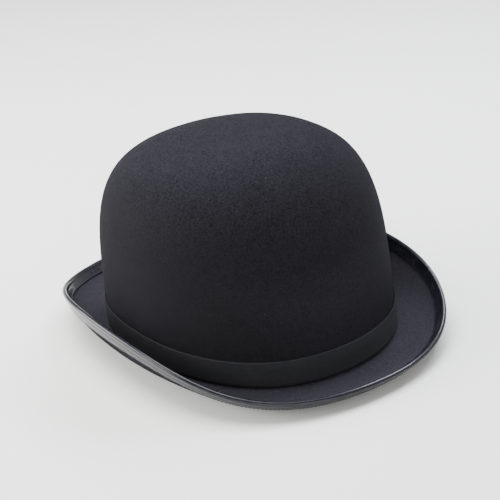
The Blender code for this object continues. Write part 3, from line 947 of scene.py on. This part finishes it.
def make_piping(material):
    """Twisted piping in the seam between the lining's wall and its tip."""
    theta = even_thetas(crown_skin, turn_at_rise(TIP_RISE), 4 * ROUND)
    turn = np.linspace(0, FULL_TURN, 18, endpoint=False)[:, None]
    radius = PIPING_RADIUS * (1 - 0.16 * np.abs(np.sin(1.5 * turn + PIPING_TWISTS * theta)))
    rise = PIPING_RISE + radius * np.cos(turn) / CROWN_HEIGHT
    lift = INSIDE - PIPING_RADIUS + radius * np.sin(turn)
    piping = loft("twisted_piping", crown_skin(theta, turn_at_rise(rise), lift), material)
    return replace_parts(piping, "lining_piping")


def rim_indices(rows, columns):
    """The vertex numbers once round the rim of a grid."""
    number = np.arange(rows * columns).reshape(rows, columns)
    sides = [number[0, :-1], number[:-1, -1], number[-1, :0:-1], number[:0:-1, 0]]
    return np.concatenate(sides).tolist()


def cloth_strip(name, place, width, height, hems, material):
    """A woven label: place(across, upward, out) gives a point. In hems, 1 stands for a thicker hem at
    its top and -1 for one at its foot."""
    across = np.linspace(-width / 2, width / 2, 41)[None, :]
    upward = np.linspace(-height / 2, height / 2, 37)[:, None]
    edge = np.minimum(width / 2 - np.abs(across), height / 2 - np.abs(upward))
    rounded = rounded_edge(edge, 0.3 * MM)
    hem_height = height / 2 - 1.2 * MM
    hem = sum(0.12 * MM * hump(upward, side * hem_height, 0.8 * MM, 4) for side in hems)
    front = place(across, upward, LABEL / 2 * (1 + rounded) + hem * rounded)
    back = place(across, upward, LABEL / 2 * (1 - rounded))
    rows, columns = front.shape[:2]
    quads, row, column = grid_faces(rows, columns, False, False)
    behind = rows * columns
    corners = np.stack([width / (columns - 1) * column, height / (rows - 1) * row], axis=-1)
    uvs = np.concatenate([corners, corners[:, ::-1]]).reshape(-1, 2).tolist()
    faces = np.concatenate([quads, quads[:, ::-1] + behind]).tolist()
    rim = rim_indices(rows, columns)
    for here, after in zip(rim, rim[1:] + rim[:1]):
        faces.append([here, after, after + behind, here + behind])
        uvs += [(0.0, 0.0)] * 4
    vertices = np.concatenate([front.reshape(-1, 3), back.reshape(-1, 3)]).tolist()
    return make_piece(name, vertices, faces, uvs, material)


def make_size_label(material):
    """The blank label sewn flat to the front of the sweatband."""
    middle = (SWEATBAND_LOW + SWEATBAND_HIGH) / 2

    def place(across, upward, out):
        return wall_skin(-theta_from_rear(across), middle + upward, SWEATBAND_INNER - GAP - out)

    label = cloth_strip("blank_size_label", place, 24 * MM, 11 * MM, (1, -1), material)
    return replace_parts(label, "size_label")


def make_care_label(material):
    """The blank label that hangs from its top edge, curling a little off the sweatband."""
    low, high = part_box("care_label")
    centre = (low + high) / 2
    width, height = high.y - low.y, high.z - low.z

    def place(across, upward, out):
        fall = (height / 2 - upward) / height
        curl = 1.5 * MM * fall**2 * (1 + 0.5 * np.cos(across / (7 * MM)))
        ruffle = 0.25 * MM * fall * np.sin(across / (3.1 * MM))
        return stacked(high.x - out - curl - ruffle, centre.y + across, centre.z + upward)

    label = cloth_strip("hanging_care_label", place, width, height, (-1,), material)
    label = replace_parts(label, "care_label")
    return label


# --- Stage ----------------------------------------------------------------------------------------


def make_floor():
    """A flat round floor that curves up into a pale wall all round, so that it has no horizon."""
    turn = np.linspace(0, QUARTER_TURN, 17)[1:]
    flat = np.linspace(0.2, 1, 5) * FLOOR_RADIUS
    out = [flat, FLOOR_RADIUS + WALL_BEND * np.sin(turn), [FLOOR_RADIUS + WALL_BEND]]
    rise = [0 * flat, WALL_BEND * (1 - np.cos(turn)), [WALL_HEIGHT]]
    out, rise = np.concatenate(out)[:, None], np.concatenate(rise)[:, None]
    theta = ring_angles(96)
    just_below = FLOOR - 0.05 * MM
    points = stacked(out * np.cos(theta), out * np.sin(theta), just_below + rise)
    rows, columns = points.shape[:2]
    faces, row, column = grid_faces(rows, columns, False, True)
    uvs = np.stack([column, row], axis=-1).reshape(-1, 2).tolist()
    faces = faces.tolist() + [list(range(columns))]
    uvs += [(0.0, 0.0)] * columns
    make_piece("floor", points.reshape(-1, 3).tolist(), faces, uvs, floor_look())


def make_softbox(name, place, size, power, colour):
    """A rectangular area light that faces the hat and stays out of the camera's view."""
    light = bpy.data.lights.new(name, "AREA")
    light.shape = "RECTANGLE"
    light.size, light.size_y = size
    light.energy = power
    light.color = colour
    lamp = bpy.data.objects.new(name, light)
    lamp.location = place
    lamp.visible_camera = False
    lamp.rotation_euler = (Vector(SOFTBOX_AIM) - Vector(place)).to_track_quat("-Z", "Y").to_euler()
    bpy.context.scene.collection.objects.link(lamp)


def make_world(colour, strength):
    """Even pale light from all round."""
    world = bpy.data.worlds.new("pale_studio")
    world.use_nodes = True
    background = world.node_tree.nodes["Background"]
    background.inputs["Color"].default_value = (*colour, 1.0)
    background.inputs["Strength"].default_value = strength
    bpy.context.scene.world = world


def make_camera():
    """The camera looks down at the hat's right front, a little rolled."""
    right = Vector((math.cos(CAMERA_BEARING), math.sin(CAMERA_BEARING), 0.0))
    level = Vector((math.sin(CAMERA_BEARING), -math.cos(CAMERA_BEARING), 0.0))
    back = level * math.cos(CAMERA_ELEVATION) + Vector((0.0, 0.0, math.sin(CAMERA_ELEVATION)))
    up = back.cross(right)
    aim = right * CAMERA_AIM[0] + Vector((0.0, 0.0, CAMERA_AIM[1]))
    rolled_right = math.cos(CAMERA_ROLL) * right + math.sin(CAMERA_ROLL) * up
    rolled_up = -math.sin(CAMERA_ROLL) * right + math.cos(CAMERA_ROLL) * up
    data = bpy.data.cameras.new("camera")
    data.lens = CAMERA_LENS_MM
    camera = bpy.data.objects.new("camera", data)
    turn = Matrix((rolled_right, rolled_up, back)).transposed().to_4x4()
    camera.matrix_world = Matrix.Translation(aim + back * CAMERA_DISTANCE) @ turn
    bpy.context.scene.collection.objects.link(camera)
    bpy.context.scene.camera = camera


def make_hat():
    """Every piece of the hat, with its body and material slot."""
    ribbon = ribbon_look()
    black_thread = thread_look("black_thread", (0.008, 0.008, 0.01), (0.03, 0.03, 0.036))
    brown_thread = thread_look("dark_brown_thread", (0.01, 0.008, 0.007), (0.04, 0.028, 0.02))
    satin, woven = lining_look(), label_look()
    slots = {"black_felt": [make_felt(felt_look())]}
    slots["black_ribbon"] = [make_band(ribbon), *make_band_bow(ribbon), *make_rear_bow(ribbon)]
    slots["black_satin_tape"] = [make_binding(satin_tape_look())]
    sweatband, reed = make_sweatband(leather_look()), make_reed(reed_look())
    sweatband_seam = make_sweatband_seam(brown_thread)
    slots["black_thread"] = [*make_binding_seams(black_thread), sweatband_seam]
    slots["brown_leather"] = [sweatband]
    slots["brown_reed"] = [reed]
    slots["black_satin_lining"] = [make_side_lining(satin), make_tip_lining(satin), make_piping(satin)]
    size_label, care_label = make_size_label(woven), make_care_label(woven)
    slots["white_label"] = [size_label, care_label]
    for slot, pieces in slots.items():
        for piece in pieces:
            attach(piece, "care_label" if piece is care_label else "hat")
    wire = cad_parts["brim_wire"]
    wire.data.materials.clear()
    wire.data.materials.append(wire_look())


make_camera()
make_world(WORLD_COLOUR, WORLD_STRENGTH)
make_floor()
for softbox in SOFTBOXES:
    make_softbox(*softbox)
make_hat()
